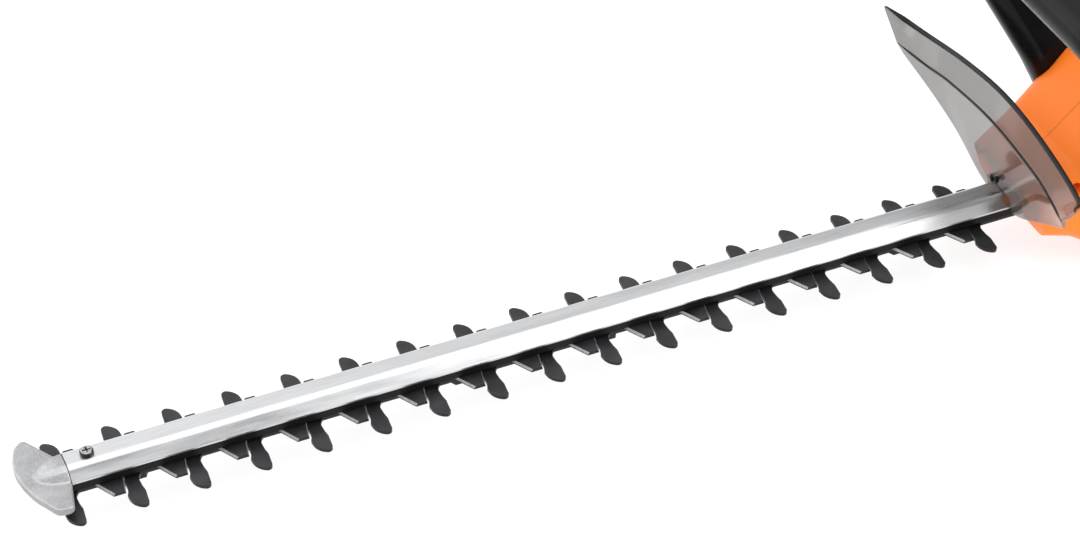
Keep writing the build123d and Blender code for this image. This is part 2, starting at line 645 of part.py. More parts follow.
def housing_shell(side):
    """One half of the clamshell housing."""
    outer = front_body() + rear_handle() + battery_shoe()
    inner = front_body(WALL) & block((60, 264 - WALL), (-60, 60), (0, 140))
    inner = inner + rear_handle(WALL) + battery_shoe(WALL)
    half_space = block((0, 600), sorted((0, side * 100)), (-20, 220))
    pillars = [rod(x, z, sorted((0, side * 44)), 4.8) & outer for x, z in HOUSING_SCREWS]
    shell = ((outer - inner) & half_space) + pillars
    shell = shell - guard_boss(0.05) if side == LEFT else shell + guard_boss()
    shell = shell + guard_rest(side) - guard_space() + battery_rail(side)
    if side == LEFT:
        shell -= [rod(x, z, (-60, -11.6), 3.6) for x, z in HOUSING_SCREWS]
        shell -= [rod(x, z, (-15, 1), 1.7) for x, z in HOUSING_SCREWS]
    else:
        shell -= [rod(x, z, (-1, 13), 1.5) for x, z in HOUSING_SCREWS]
    foot_screws = [handle_screw(side, back, 60.0, 0.1) for back in SIDES]
    return shell - housing_cuts() - vent_slots(side) - foot_screws


def housing_screw(x, z):
    """A long screw that joins the two halves, its head deep in the left one."""
    head = rod(x, z, (-14.0, -11.6), 3.2)
    socket = rod(x, z, (-15, -13), 1.5)
    return rod(x, z, (-14.0, 12.0), 1.5) + head - socket


def belly_cover():
    """The plate that closes the belly under the gearbox."""
    cover = block((130.3, 201.7), (-22.0, 22.0), (0.5, 3.2))
    cover = chamfer(cover.edges().filter_by(Axis.Z), 2)
    slots = [block((146 + 7 * i, 149 + 7 * i), (-9, 9), (0, 4)) for i in range(6)]
    holes = [disc(x, y, (0, 4), 1.8) for x, y in belly_screw_places()]
    seats = [disc(x, y, (0, 2.0), 3.1) for x, y in belly_screw_places()]
    return cover - slots - holes - seats


def belly_screw(x, y):
    """A pan-head screw from below, its head sunk in the belly cover."""
    head = disc(x, y, (0.7, 2.0), 2.9) - disc(x, y, (0.6, 1.4), 1.2)
    return head + disc(x, y, (2.0, 14.0), 1.5)


# ---- hand guard --------------------------------------------------------------
def guard_line(half):
    """A smooth line across the tool through points given for its right half."""
    left = [(x, -y, z) for x, y, z in reversed(half) if y > 0]
    return Spline(*left, *half)


def guard_faces():
    """The guard's two curved panels, which meet at a crease."""
    rim = guard_line([(62.0, 0, 107.0), (61.3, 42, 103.4), (57.0, 84, 98.5), (45.0, 103, 107.0)])
    crease = guard_line([(55.2, 0, 93.0), (55.4, 46, 88.6), (52.4, 69, 86.8), (45.6, 90, 90.5)])
    foot = guard_line([(68.5, 0, 30.5), (66.6, 22, 37.0), (64.0, 46, 51.5), (58.0, 67, 66.5), (49.0, 88, 83.5)])
    band = Face.make_surface_from_curves(crease, rim)
    panel = Face.make_surface_from_curves(foot, crease)
    return [band, panel]


def guard_space(reach=40.0):
    """The room in front of the guard's back, which the housing stays out of."""
    return [extrude(face.moved(Pos(-reach, 0, 0)), reach + GUARD_THICKNESS, dir=(1, 0, 0))
            for face in guard_faces()]


def hand_guard():
    """The see-through hand guard, cut out around the bar."""
    band, panel = [extrude(face, GUARD_THICKNESS, dir=(1, 0, 0)) for face in guard_faces()]
    notch = block((40, 90), (-12.4, 12.4), (20, BAR[1] + 0.6))
    return band + panel - notch - along(*GUARD_SCREW, (40, 80), 1.8)


def guard_screw():
    head = along(*GUARD_SCREW, (60.9, 63.5), 3.0)
    return head + along(*GUARD_SCREW, (63.5, 74.0), 1.25) - along(*GUARD_SCREW, (60, 62.0), 1.2)


# ---- front handle ------------------------------------------------------------
def bail_plane():
    """A plane across the tool that leans forward; its normal points to the rear and up."""
    lean = math.radians(BAIL_LEAN)
    normal = (math.cos(lean), 0, math.sin(lean))
    return Plane(origin=(BAIL_X, 0, BAIL_Z), x_dir=(0, 1, 0), z_dir=normal)


def bail_sweep(inset=0.0):
    """The handle's loop: up from one side of the housing, over and down the other."""
    half = [(41.0, -12.0), (47.0, 22.0), (77.0, 68.0), (70.0, BAIL_TOP)]
    points = [(-y, h) for y, h in half] + list(reversed(half))
    path = bail_plane() * FilletPolyline(*[(y, h, 0) for y, h in points], radius=[24, 26, 24, 24, 26, 24])
    width, depth = BAIL_SECTION
    section = RectangleRounded(width - 2 * inset, depth - 2 * inset, 11 - inset)
    start = Plane(origin=path @ 0, x_dir=(path % 0).cross(bail_plane().z_dir), z_dir=path % 0)
    return sweep(start * section, path=path)


def bail_block(y_span, h_span, n_span):
    """A box in the leaning plane: across, up and through it; n is positive to the rear."""
    size = [span[1] - span[0] for span in (y_span, h_span, n_span)]
    middle = [sum(y_span) / 2, sum(h_span) / 2, sum(n_span) / 2]
    return bail_plane() * Pos(*middle) * Box(*size)


def handle_screw(side, back, head_top=54.6, gap=0.0):
    """A screw through one foot of the front handle into the housing."""
    x, z = BAIL_X + 9 * back + 1, BAIL_Z - 3 + 4.0 * back
    head = rod(x, z, sorted((side * 52.6, side * head_top)), 3.4 + gap)
    socket = rod(x, z, sorted((side * (head_top - 1.3), side * (head_top + 1))), 1.5)
    return head + rod(x, z, sorted((side * 37.0, side * 52.6)), 1.7 + gap) - socket


def front_handle(back):
    """The front or the back half of the handle, hollow, fitted to the housing."""
    n_span = sorted((0, back * 40))
    half = bail_block((-120, 120), (-60, 160), n_span)
    lever_room = bail_block((-50, 50), (96, 109), (-11.5, 15.0))
    shell = (bail_sweep() - bail_sweep(BAIL_WALL)) & half
    screws = [handle_screw(side, way, 60.0, 0.1) for side in SIDES for way in SIDES]
    shell = shell - front_body() - lever_room - screws
    if back == LEFT:
        for side in SIDES:
            shell += bail_block(sorted((side * 50.2, side * 54.0)), (101.5, 109.0), (-10.5, -3.5))
        shell -= lever_pin_rod()
    return shell


def lever_section():
    """The front switch lever's profile, in height and depth of the leaning plane."""
    return [(98.4, -9.5), (107.6, -9.5), (107.6, -4.6), (103.0, -3.6), (102.4, 12.5), (93.0, 13.0),
            (90.5, 9.0)]


def front_switch_lever():
    """A paddle under the top of the front handle, squeezed by the fingers."""
    plane = bail_plane()
    face = make_face(Polyline(*lever_section(), close=True))
    side_plane = Plane(origin=plane.origin, x_dir=plane.y_dir, z_dir=plane.x_dir)
    lever = extrude((side_plane * Pos(0, 0, -48)) * face, 96)
    return lever - lever_pin_rod(0.15)


def lever_axis_point():
    """A point on the lever's hinge line, in height and depth of the leaning plane."""
    return (105.3, -7.0)


def lever_pin_rod(gap=0.0):
    plane = bail_plane()
    h, n = lever_axis_point()
    point = plane.origin + plane.y_dir * h + plane.z_dir * n
    return Pos(*point) * Rot(90, 0, 0) * Cylinder(1.25 + gap, 106.0)


def front_switch():
    """The small switch above the lever."""
    return bail_block((-10, 10), (108.4, 117), (-4, 6))


# ---- trigger and lock-off ----------------------------------------------------
def trigger():
    """The rear trigger, a curved lever on a pin."""
    edges = [
        Polyline((292.0, 95.0), (290.0, 120.0), (300.0, 120.0), (346.0, 114.5), (349.0, 110.0), (339.0, 98.0)),
        ThreePointArc((339.0, 98.0), (322.0, 95.0), (304.0, 91.0)),
        Line((304.0, 91.0), (292.0, 95.0)),
    ]
    body = across(Plane.XZ * make_face(edges), (-8.0, 8.0))
    return body - rod(*TRIGGER_PIVOT, (-9, 9), 2.05)


def trigger_pin():
    return rod(*TRIGGER_PIVOT, (-16.5, 16.5), 2.0)


def torsion_spring():
    """The trigger's spring, coiled round the pin beside the trigger."""
    coil = Helix(pitch=1.4, height=4.2, radius=3.2)
    wire = sweep(Plane(origin=coil @ 0, z_dir=coil % 0) * Circle(0.5), path=coil)
    return Pos(TRIGGER_PIVOT[0], 13.4, TRIGGER_PIVOT[1]) * Rot(90, 0, 0) * wire


def lock_off_button():
    """The thumb button on top of the grip that frees the trigger."""
    button = block((308.0, 330.0), (-6.0, 6.0), (134.5, 145.0))
    button = fillet(button.edges().group_by(Axis.Z)[-1], 2.0)
    flange = block((305.0, 333.0), (-8.0, 8.0), (133.6, 135.4))
    return button + flange


def lock_off_bracket():
    """The plate under the button that its spring stands on."""
    return block((303.0, 335.0), (-15.4, 15.4), (123.4, 124.8))


def lock_off_spring():
    coil = Helix(pitch=1.6, height=7.6, radius=3.4)
    wire = sweep(Plane(origin=coil @ 0, z_dir=coil % 0) * Circle(0.35), path=coil)
    return Pos(319.0, 0, 125.2) * wire


def main_switch():
    """The switch behind the trigger."""
    case = block((354.0, 379.0), (-6.0, 6.0), (113.0, 127.0))
    plunger = block((351.0, 354.0), (-1.5, 1.5), (115.0, 119.0))
    return case + plunger


def controller_board():
    """A circuit board with its capacitor and power parts."""
    board = block((212.0, 256.0), (-22.0, 22.0), (60.0, 61.6))
    capacitor = disc(222.0, -10.0, (61.6, 80.0), 6.0)
    chips = [block((236, 246), (y, y + 7), (61.6, 66.0)) for y in (-14.0, -3.5, 7.0)]
    return board + capacitor + chips


def lead(points, radius=1.4):
    """An insulated wire along straight runs joined by arcs."""
    path = FilletPolyline(*points, radius=10)
    return sweep(Plane(origin=path @ 0, z_dir=path % 0) * Circle(radius), path=path)


def battery_leads():
    return [lead([(352.8, y, 31.0), (288.0, y, 31.0), (247.0, y, 56.0)]) for y in (-6.0, 6.0)]


# ---- battery -----------------------------------------------------------------
def battery_block(inset=0.0):
    """The battery's outer shape."""
    half = SHOE_HALF_WIDTH - inset
    body = block((BATTERY_FRONT_X + inset, REAR_X - inset), (-half, half), (inset, BATTERY_TOP - inset))
    return fillet(body.edges().filter_by(Axis.Z), 9 - inset)


def battery_case(z_span):
    """The lower or upper half of the battery's case."""
    wall = 2.2
    room = battery_block(wall)
    for side in SIDES:
        room -= block((360, 484), sorted((side * 18.4, side * 40)), (BATTERY_TOP - 6.4, 60))
    grooves = []
    for side in SIDES:
        grooves.append(block((360, 483), sorted((side * 20.6, side * 30.4)), (BATTERY_TOP - 4.6, 50.0)))
        grooves.append(block((360, 483), sorted((side * 24.6, side * 30.4)), (BATTERY_TOP - 4.6, 53.0)))
    slots = [block((362, 375), (y - 1.2, y + 1.2), (23, 39)) for y in TERMINAL_YS]
    windows = [button_window(side) for side in SIDES]
    keep = block((350, 520), (-60, 60), z_span)
    return (battery_block() - room - grooves - slots - windows) & keep


def button_window(side):
    return block((486.0, 495.6), sorted((side * 33, side * 40)), (18.6, 34.4))


def cell(column, row):
    """One round cell, lying across the tool."""
    x = BATTERY_FRONT_X + 24.5 + 21.3 * column
    z = 13.2 + 21.2 * row
    half = CELL_LENGTH / 2
    nub = rod(x, z, (half - 1, half), 4.0)
    return rod(x, z, (-half, half - 1), CELL_RADIUS) + nub


def terminal_block():
    holder = block((350.0, 361.0), (-13.7, 13.7), (20.3, 41.7))
    return holder - [along(y, 31.0, (349, 353), 1.5) for y in (-6.0, 6.0)]


def terminal_blades():
    return [block((361.0, 372.0), (y - 0.4, y + 0.4), (25.0, 37.0)) for y in TERMINAL_YS]


def battery_contacts():
    """The sprung clips behind the slots in the battery's front."""
    clip = block((366.0, 375.6), (-1.0, 1.0), (24.0, 38.0)) - block((365, 374.2), (-0.45, 0.45), (23, 39))
    return [Pos(0, y, 0) * clip for y in TERMINAL_YS]


def battery_board():
    return block((490.0, 491.6), (-26, 26), (8.0, 44.0))


def release_button(side):
    """A button in the side of the battery that frees it."""
    button = block((486.4, 495.2), sorted((side * 33.5, side * 38.8)), (19.0, 34.0))
    flange = block((484.6, 496.6), sorted((side * 32.5, side * 34.5)), (17.0, 36.0))
    return button + flange


def main():
    os.makedirs("parts", exist_ok=True)
    save("upper_blade", upper_blade())
    save("lower_blade", lower_blade())
    save("blade_bar", blade_bar())
    save("guide_strip", guide_strip())
    save("tip_guard", tip_guard())
    save("tip_guard_screw", tip_guard_screw())
    save("blade_bolts", *[blade_bolt(x) for x in bolt_places()])
    save("blade_washers", *[blade_washer(x) for x in bolt_places()])
    save("blade_bushes", *[blade_bush(x) for x in bolt_places()])
    save("gearbox_base", gearbox_base())
    save("gearbox_cover", gearbox_cover())
    save("drive_gear", drive_gear())
    save("gear_shaft", disc(GEAR_X, 0, (16.0, 49.6), SHAFT_RADIUS))
    save("upper_cam", cam(LEFT, (UPPER_BLADE[0] + 0.1, UPPER_BLADE[1] - 0.1)))
    save("lower_cam", cam(RIGHT, (LOWER_BLADE[0] + 0.1, LOWER_BLADE[1] - 0.1)))
    save("gear_bearings", gear_bearing((16.0, 22.0)), gear_bearing((43.0, 49.0)))
    save("gearbox_screws", *[cap_screw(x, y, BASE[1] + 3, 11) for x, y in gearbox_screw_places()])
    save("bar_screws", *[cap_screw(x, 0, BAR[1] + 4.1, 9) for x in bar_screw_places()])
    save("motor_can", motor_can())
    save("motor_screws", *[cap_screw(x, y, MOTOR[0] + 2, 9) for x, y in motor_screw_places()])
    save("motor_magnets", *[magnet(side) for side in SIDES])
    save("motor_end_bell", end_bell())
    save("motor_bearings", motor_bearing((MOTOR[0], MOTOR[0] + 3)), motor_bearing((MOTOR[1], MOTOR[1] + 3)))
    save("motor_shaft", disc(MOTOR_X, 0, (31.5, 110.2), MOTOR_SHAFT_RADIUS))
    save("armature_core", armature())
    save("armature_windings", *[winding(i) for i in range(5)])
    save("commutator", commutator())
    save("motor_pinion", pinion())
    save("cooling_fan", cooling_fan())
    save("left_housing", housing_shell(LEFT))
    save("right_housing", housing_shell(RIGHT))
    save("housing_screws", *[housing_screw(x, z) for x, z in HOUSING_SCREWS])
    save("belly_cover", belly_cover())
    save("belly_screws", *[belly_screw(x, y) for x, y in belly_screw_places()])
    save("hand_guard", hand_guard())
    save("hand_guard_screw", guard_screw())
    save("front_handle_front", front_handle(LEFT))
    save("front_handle_back", front_handle(RIGHT))
    save("front_handle_screws", *[handle_screw(side, back) for side in SIDES for back in SIDES])
    save("front_switch_lever", front_switch_lever())
    save("front_lever_pin", lever_pin_rod())
    save("front_switch", front_switch())
    save("trigger", trigger())
    save("trigger_pin", trigger_pin())
    save("trigger_spring", torsion_spring())
    save("lock_off_button", lock_off_button())
    save("lock_off_bracket", lock_off_bracket())
    save("lock_off_spring", lock_off_spring())
    save("main_switch", main_switch())
    save("controller_board", controller_board())
    save("battery_leads", *battery_leads())
    save("terminal_block", terminal_block())
    save("terminal_blades", *terminal_blades())
    save("battery_lower_case", battery_case((-1, 28)))
    save("battery_upper_case", battery_case((28, 60)))
    save("battery_cells", *[cell(column, row) for column in range(CELL_COLUMNS) for row in range(CELL_ROWS)])
    save("battery_board", battery_board())
    save("battery_contacts", *battery_contacts())
    save("left_release_button", release_button(LEFT))
    save("right_release_button", release_button(RIGHT))


main()
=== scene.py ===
import json
import math

import bmesh
import bpy
from mathutils import Matrix, Vector


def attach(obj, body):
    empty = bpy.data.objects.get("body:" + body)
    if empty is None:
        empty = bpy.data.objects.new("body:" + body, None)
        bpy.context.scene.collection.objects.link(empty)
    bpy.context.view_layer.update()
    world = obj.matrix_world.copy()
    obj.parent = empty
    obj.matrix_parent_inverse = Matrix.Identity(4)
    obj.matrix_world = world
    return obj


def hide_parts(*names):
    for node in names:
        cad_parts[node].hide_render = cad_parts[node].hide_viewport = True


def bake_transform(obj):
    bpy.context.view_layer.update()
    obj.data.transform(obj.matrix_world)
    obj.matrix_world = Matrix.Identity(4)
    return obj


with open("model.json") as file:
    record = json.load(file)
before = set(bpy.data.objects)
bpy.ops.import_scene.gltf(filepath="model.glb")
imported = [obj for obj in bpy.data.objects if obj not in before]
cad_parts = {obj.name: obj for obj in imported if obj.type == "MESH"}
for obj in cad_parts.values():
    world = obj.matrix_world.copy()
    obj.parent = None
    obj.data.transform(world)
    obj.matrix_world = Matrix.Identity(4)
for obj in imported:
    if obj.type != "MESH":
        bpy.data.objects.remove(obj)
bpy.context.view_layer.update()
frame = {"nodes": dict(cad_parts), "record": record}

# The looks of a battery hedge trimmer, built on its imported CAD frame. Lengths are in metres.
# The blade's tip points to -X, the battery to +X, and the tool stands on z = 0.

MM = 0.001

# ---- camera: its place, its three axes, and its lens and sensor in millimetres -
CAMERA_PLACE = (-0.6878, -1.0628, 1.0651)
CAMERA_RIGHT = (0.91438, -0.40487, 0.0)
CAMERA_UP = (0.26172, 0.59109, 0.76297)
CAMERA_BACK = (-0.30890, -0.69764, 0.64644)
CAMERA_LENS = 96.6
SENSOR_WIDTH = 36.0

# ---- the studio --------------------------------------------------------------
# Light from the tool's left side (-Y) grows to the rear and is at least LEFT_HIGH from high up,
# light from its right side fades to the rear, and light from ahead of the tip has AHEAD added.
# LEFT_SHARE is how much of a direction's light is the left side's. Each pair holds the values at
# the two ends of its span below.
LEFT_LIGHT = (0.2, 1.6)
RIGHT_LIGHT = (1.34, 0.6)
LEFT_HIGH = (0.0, 1.2)
AHEAD = (1.05, 0.0)
LEFT_SHARE = (1.0, 0.0)
# The spans of X, Y or Z, for a direction of length 1.
LEFT_LIGHT_X = (0.16, 0.43)
RIGHT_LIGHT_X = (0.08, 0.52)
LEFT_HIGH_Z = (0.64, 0.84)
AHEAD_X = (-0.4, -0.05)
LEFT_SHARE_Y = (-0.35, 0.40)
WORLD_COLOUR = (0.985, 0.99, 1.0, 1)
# Each soft box: its name, place, target, width and length, and watts.
SOFT_BOXES = (
    ("key", (1.9, -1.7, 1.7), (0.15, 0, 0.08), (1.6, 1.6), 42),
    ("overhead", (0.1, -0.2, 2.8), (0, 0, 0.05), (3.2, 2.2), 36),
)
FLOOR_SIZE = 14.0
FLOOR_DROP = 0.5 * MM
FLOOR_COLOUR = (0.27, 0.27, 0.27, 1)
FLOOR_ROUGHNESS = 0.9
FLOOR_SPECULAR = 0.1
FLOOR_GLOW = 0.76

# ---- the housing's parting line: half its dark width, and where it ends --------
SEAM_CORE = 0.08 * MM
SEAM_EDGE = 0.2 * MM

# ---- the shapes that Blender builds ------------------------------------------
GUARD_THICKNESS = 2.2 * MM
GUARD_COLUMNS = 96
GUARD_PANEL_ROWS = 14
GUARD_BAND_ROWS = 8
# The part of the lines' width that the sheet takes, so that its beads stay in the CAD box.
GUARD_INSET = 0.985
GUARD_EDGE = 0.6 * MM
GUARD_EDGE_ANGLE = math.radians(50)
GUARD_SHARP_ANGLE = math.radians(40)
RIM_BEAD = 1.5 * MM
CREASE_BEAD = 0.75 * MM
# How far a bead's line lies behind the sheet's front, in half thicknesses.
RIM_BEAD_BACK = 1.0
CREASE_BEAD_BACK = 0.3
BEAD_SIDES = 12
# The beads take the second material of the guard's mesh.
BEAD_MATERIAL = 1
# A bead's radius at its ends as a part of the whole, and the part of its length that thins out.
BEAD_END = 0.3
BEAD_TAPER = 0.08
# Where the rounding at the crease starts on the panel and ends on the band, and how much of
# its corner is cut off.
CREASE_START = 0.96
CREASE_END = 0.12
CREASE_CUT = 0.4
# The notch for the bar: half its width, its top, and the box that cuts it.
NOTCH_HALF = 12.4 * MM
NOTCH_TOP = 43.8 * MM
NOTCH_LENGTH = 0.2
NOTCH_HEIGHT = 0.1
NOTCH_X = 0.06
# Points on the right half of the hand guard's lines in millimetres, from the middle outwards.
GUARD_RIM = [(62.0, 0, 107.0), (61.3, 42, 103.4), (57.0, 84, 98.5), (42.5, 103, 108.5)]
GUARD_CREASE = [(55.2, 0, 93.0), (55.4, 46, 88.6), (52.4, 69, 86.8), (45.6, 90, 90.5)]
GUARD_FOOT = [(68.5, 0, 30.5), (66.6, 22, 37.0), (64.0, 46, 51.5), (58.0, 67, 66.5), (49.0, 88, 83.5)]
NOSE_VOXEL = 0.45 * MM
NOSE_SMOOTHINGS = 8
NOSE_SMOOTHING = 0.5


# ---- node helpers --------------------------------------------------------------
def new_material(name):
    material = bpy.data.materials.new(name)
    material.use_nodes = True
    return material, material.node_tree.nodes["Principled BSDF"]


def add(material, kind, **settings):
    """Adds a node; settings are its properties."""
    node = material.node_tree.nodes.new(kind)
    for name, value in settings.items():
        setattr(node, name, value)
    return node


def link(material, output, socket):
    material.node_tree.links.new(output, socket)


def place(material, scale=(1, 1, 1)):
    """The object's own coordinates in metres, stretched by scale."""
    coordinates = add(material, "ShaderNodeTexCoord")
    mapping = add(material, "ShaderNodeMapping")
    mapping.inputs["Scale"].default_value = scale
    link(material, coordinates.outputs["Object"], mapping.inputs["Vector"])
    return mapping.outputs["Vector"]


def noise(material, scale, stretch=(1, 1, 1), *, detail, roughness=0.55):
    """Noise with about scale lumps a metre."""
    node = add(material, "ShaderNodeTexNoise")
    node.inputs["Scale"].default_value = scale
    node.inputs["Detail"].default_value = detail
    node.inputs["Roughness"].default_value = roughness
    link(material, place(material, stretch), node.inputs["Vector"])
    return node.outputs["Fac"]


def spread(material, value, low, high, start=0.3, end=0.7):
    """Maps a value between start and end onto low to high."""
    node = add(material, "ShaderNodeMapRange")
    for socket, number in (("From Min", start), ("From Max", end), ("To Min", low), ("To Max", high)):
        node.inputs[socket].default_value = number
    link(material, value, node.inputs["Value"])
    return node.outputs["Result"]


def maths(material, operation, first, second=0.0):
    node = add(material, "ShaderNodeMath", operation=operation)
    for index, value in enumerate((first, second)):
        if isinstance(value, (int, float)):
            node.inputs[index].default_value = value
        else:
            link(material, value, node.inputs[index])
    return node.outputs["Value"]


def blend_colours(material, factor, first, second):
    """first where factor is 0, second where it is 1."""
    node = add(material, "ShaderNodeMix", data_type="RGBA")
    for name, value in (("A", first), ("B", second)):
        socket = [s for s in node.inputs if s.name == name and s.type == "RGBA"][0]
        if isinstance(value, tuple):
            socket.default_value = (*value[:3], 1.0)
        else:
            link(material, value, socket)
    link(material, factor, node.inputs["Factor"])
    return [s for s in node.outputs if s.type == "RGBA"][0]


def bump(material, shader, height, strength, distance, before=None):
    """Dents the surface by a height; before is the normal of a bump under this one."""
    node = add(material, "ShaderNodeBump")
    node.inputs["Strength"].default_value = strength
    node.inputs["Distance"].default_value = distance
    link(material, height, node.inputs["Height"])
    if before is not None:
        link(material, before, node.inputs["Normal"])
    link(material, node.outputs["Normal"], shader.inputs["Normal"])
    return node.outputs["Normal"]


def axis_value(material, axis, of="Position"):
    """One axis of the object's coordinates, or of the surface's normal in them."""
    split = add(material, "ShaderNodeSeparateXYZ")
    coordinates = add(material, "ShaderNodeTexCoord")
    source = coordinates.outputs["Object" if of == "Position" else "Normal"]
    link(material, source, split.inputs["Vector"])
    return split.outputs[axis]


# ---- materials -------------------------------------------------------------------
def varied(name, colour, roughness, *, grain, grain_depth, metallic=0.0, mottle=0.12, mottle_scale=25,
           rough_spread=0.08, coat=0.0, specular=0.5):
    """A surface with slow colour drift, uneven gloss and fine grain, grain_depth in millimetres."""
    material, shader = new_material(name)
    shader.inputs["Metallic"].default_value = metallic
    shader.inputs["Specular IOR Level"].default_value = specular
    shader.inputs["Coat Weight"].default_value = coat
    shader.inputs["Coat Roughness"].default_value = 0.1
    drift = spread(material, noise(material, mottle_scale, detail=4), 0.0, 1.0)
    darker = tuple(c * (1 - mottle) for c in colour)
    lighter = tuple(min(1.0, c * (1 + mottle)) for c in colour)
    link(material, blend_colours(material, drift, darker, lighter), shader.inputs["Base Color"])
    patches = noise(material, mottle_scale * 3, detail=5)
    low, high = max(0.03, roughness - rough_spread), roughness + rough_spread
    link(material, spread(material, patches, low, high), shader.inputs["Roughness"])
    fine = noise(material, grain, detail=2)
    bump(material, shader, fine, 0.6, grain_depth * MM)
    return material


def blade_steel():
    """Dark oxidised steel; faces ground at a slant at the cut edges are bright, with grinding lines, and
    the upright sides are painted darker as shade.
    """
    material, shader = new_material("blade_steel")
    shader.inputs["Metallic"].default_value = 0.85
    up = maths(material, "ABSOLUTE", axis_value(material, "Z", "Normal"))
    ground = maths(material, "MULTIPLY", spread(material, up, 1, 0, 0.86, 0.96),
                   spread(material, up, 0, 1, 0.25, 0.42))
    # Painted shade: faces that stand upright get a darker colour than the flat faces, as if they were in
    # shadow.
    side = spread(material, up, 1, 0, 0.2, 0.5)
    cloud = spread(material, noise(material, 60, detail=5), 0, 1)
    dark = blend_colours(material, cloud, (0.035, 0.035, 0.038), (0.06, 0.06, 0.063))
    sides = blend_colours(material, side, dark, (0.028, 0.028, 0.03))
    streaks = spread(material, noise(material, 500, (6, 0.5, 1), detail=2), 0, 1)
    bright = blend_colours(material, streaks, (0.34, 0.34, 0.35), (0.58, 0.58, 0.6))
    link(material, blend_colours(material, ground, sides, bright), shader.inputs["Base Color"])
    patches = noise(material, 220, detail=4)
    link(material, spread(material, patches, 0.34, 0.5), shader.inputs["Roughness"])
    bump(material, shader, noise(material, 900, (1, 0.3, 1), detail=2), 0.5, 0.02 * MM)
    return material


def brushed(name, colour, roughness, along, depth, scale):
    """Metal with fine lines along the axis where along is small, depth in millimetres."""
    material, shader = new_material(name)
    shader.inputs["Metallic"].default_value = 1.0
    shader.inputs["Anisotropic"].default_value = 0.35
    lines = noise(material, scale, along, detail=3)
    tone = spread(material, lines, 0, 1, 0.35, 0.65)
    darker = tuple(c * 0.86 for c in colour)
    link(material, blend_colours(material, tone, darker, colour), shader.inputs["Base Color"])
    wide = noise(material, 160, (0.12, 1, 1), detail=4)
    link(material, spread(material, wide, roughness - 0.06, roughness + 0.09), shader.inputs["Roughness"])
    bump(material, shader, lines, 0.5, depth * MM)
    return material


def dark_screw():
    """Blackened steel; the faces that point up are painted a lighter, mottled grey as a highlight."""
    material, shader = new_material("dark_screw")
    shader.inputs["Metallic"].default_value = 1.0
    # Painted highlight: faces that point up get a light grey, and the rest stays near black.
    top = spread(material, axis_value(material, "Z", "Normal"), 0, 1, 0.8, 0.97)
    highlight_mottle = spread(material, noise(material, 700, detail=3), 0, 1, 0.35, 0.65)
    bright = blend_colours(material, highlight_mottle, (0.34, 0.34, 0.345), (0.46, 0.46, 0.465))
    link(material, blend_colours(material, top, (0.035, 0.035, 0.036), bright), shader.inputs["Base Color"])
    link(material, spread(material, noise(material, 300, detail=3), 0.16, 0.28), shader.inputs["Roughness"])
    bump(material, shader, noise(material, 1500, detail=2), 0.5, 0.01 * MM)
    return material


def cast_aluminium():
    """A sand-cast skin: coarse grain, tiny pits and dull patches."""
    material, shader = new_material("cast_aluminium")
    shader.inputs["Metallic"].default_value = 0.75
    grains = noise(material, 1300, detail=4, roughness=0.7)
    pits = add(material, "ShaderNodeTexVoronoi")
    pits.inputs["Scale"].default_value = 900
    link(material, place(material), pits.inputs["Vector"])
    cloud = spread(material, noise(material, 90, detail=5), 0, 1)
    base = blend_colours(material, cloud, (0.27, 0.27, 0.272), (0.35, 0.35, 0.354))
    speck = spread(material, grains, 0.0, 0.6, 0.45, 0.75)
    link(material, blend_colours(material, speck, base, (0.56, 0.56, 0.57)), shader.inputs["Base Color"])
    link(material, spread(material, grains, 0.34, 0.52), shader.inputs["Roughness"])
    first = bump(material, shader, pits.outputs["Distance"], 0.35, 0.14 * MM)
    bump(material, shader, grains, 0.8, 0.2 * MM, first)
    return material


def orange_plastic():
    """Moulded plastic with a fine texture and a dark parting line on the middle plane."""
    material, shader = new_material("orange_plastic")
    shader.inputs["Specular IOR Level"].default_value = 0.22
    cloud = spread(material, noise(material, 14, detail=3), 0, 1)
    base = blend_colours(material, cloud, (0.95, 0.196, 0.016), (0.99, 0.218, 0.021))
    across = maths(material, "ABSOLUTE", axis_value(material, "Y"))
    seam = spread(material, across, 1, 0, SEAM_CORE, SEAM_EDGE)
    link(material, blend_colours(material, seam, base, (0.45, 0.08, 0.012)), shader.inputs["Base Color"])
    scuffs = noise(material, 120, (1, 1, 2), detail=6, roughness=0.7)
    link(material, spread(material, scuffs, 0.30, 0.44), shader.inputs["Roughness"])
    first = bump(material, shader, noise(material, 1500, detail=2), 0.45, 0.05 * MM)
    hollow = maths(material, "MULTIPLY", seam, -1.0)
    bump(material, shader, hollow, 0.8, 0.25 * MM, first)
    return material


def smoky_clear():
    """See-through smoky plastic, a little uneven from moulding."""
    material, shader = new_material("smoky_clear")
    shader.inputs["Alpha"].default_value = 0.58
    shader.inputs["IOR"].default_value = 1.49
    shader.inputs["Coat Weight"].default_value = 0.3
    shader.inputs["Coat Roughness"].default_value = 0.04
    cloud = spread(material, noise(material, 12, detail=2), 0, 1)
    tint = blend_colours(material, cloud, (0.07, 0.064, 0.058), (0.10, 0.093, 0.085))
    link(material, tint, shader.inputs["Base Color"])
    link(material, spread(material, noise(material, 80, detail=4), 0.08, 0.16), shader.inputs["Roughness"])
    bump(material, shader, noise(material, 45, detail=2), 0.3, 0.08 * MM)
    return material


def smoky_rim():
    """The same plastic where it is thick and nearly black."""
    material, shader = new_material("smoky_rim")
    shader.inputs["Alpha"].default_value = 0.92
    shader.inputs["Specular IOR Level"].default_value = 0.2
    cloud = spread(material, noise(material, 60, detail=3), 0, 1)
    tint = blend_colours(material, cloud, (0.006, 0.006, 0.006), (0.016, 0.015, 0.014))
    link(material, tint, shader.inputs["Base Color"])
    link(material, spread(material, noise(material, 200, detail=4), 0.16, 0.28), shader.inputs["Roughness"])
    return material


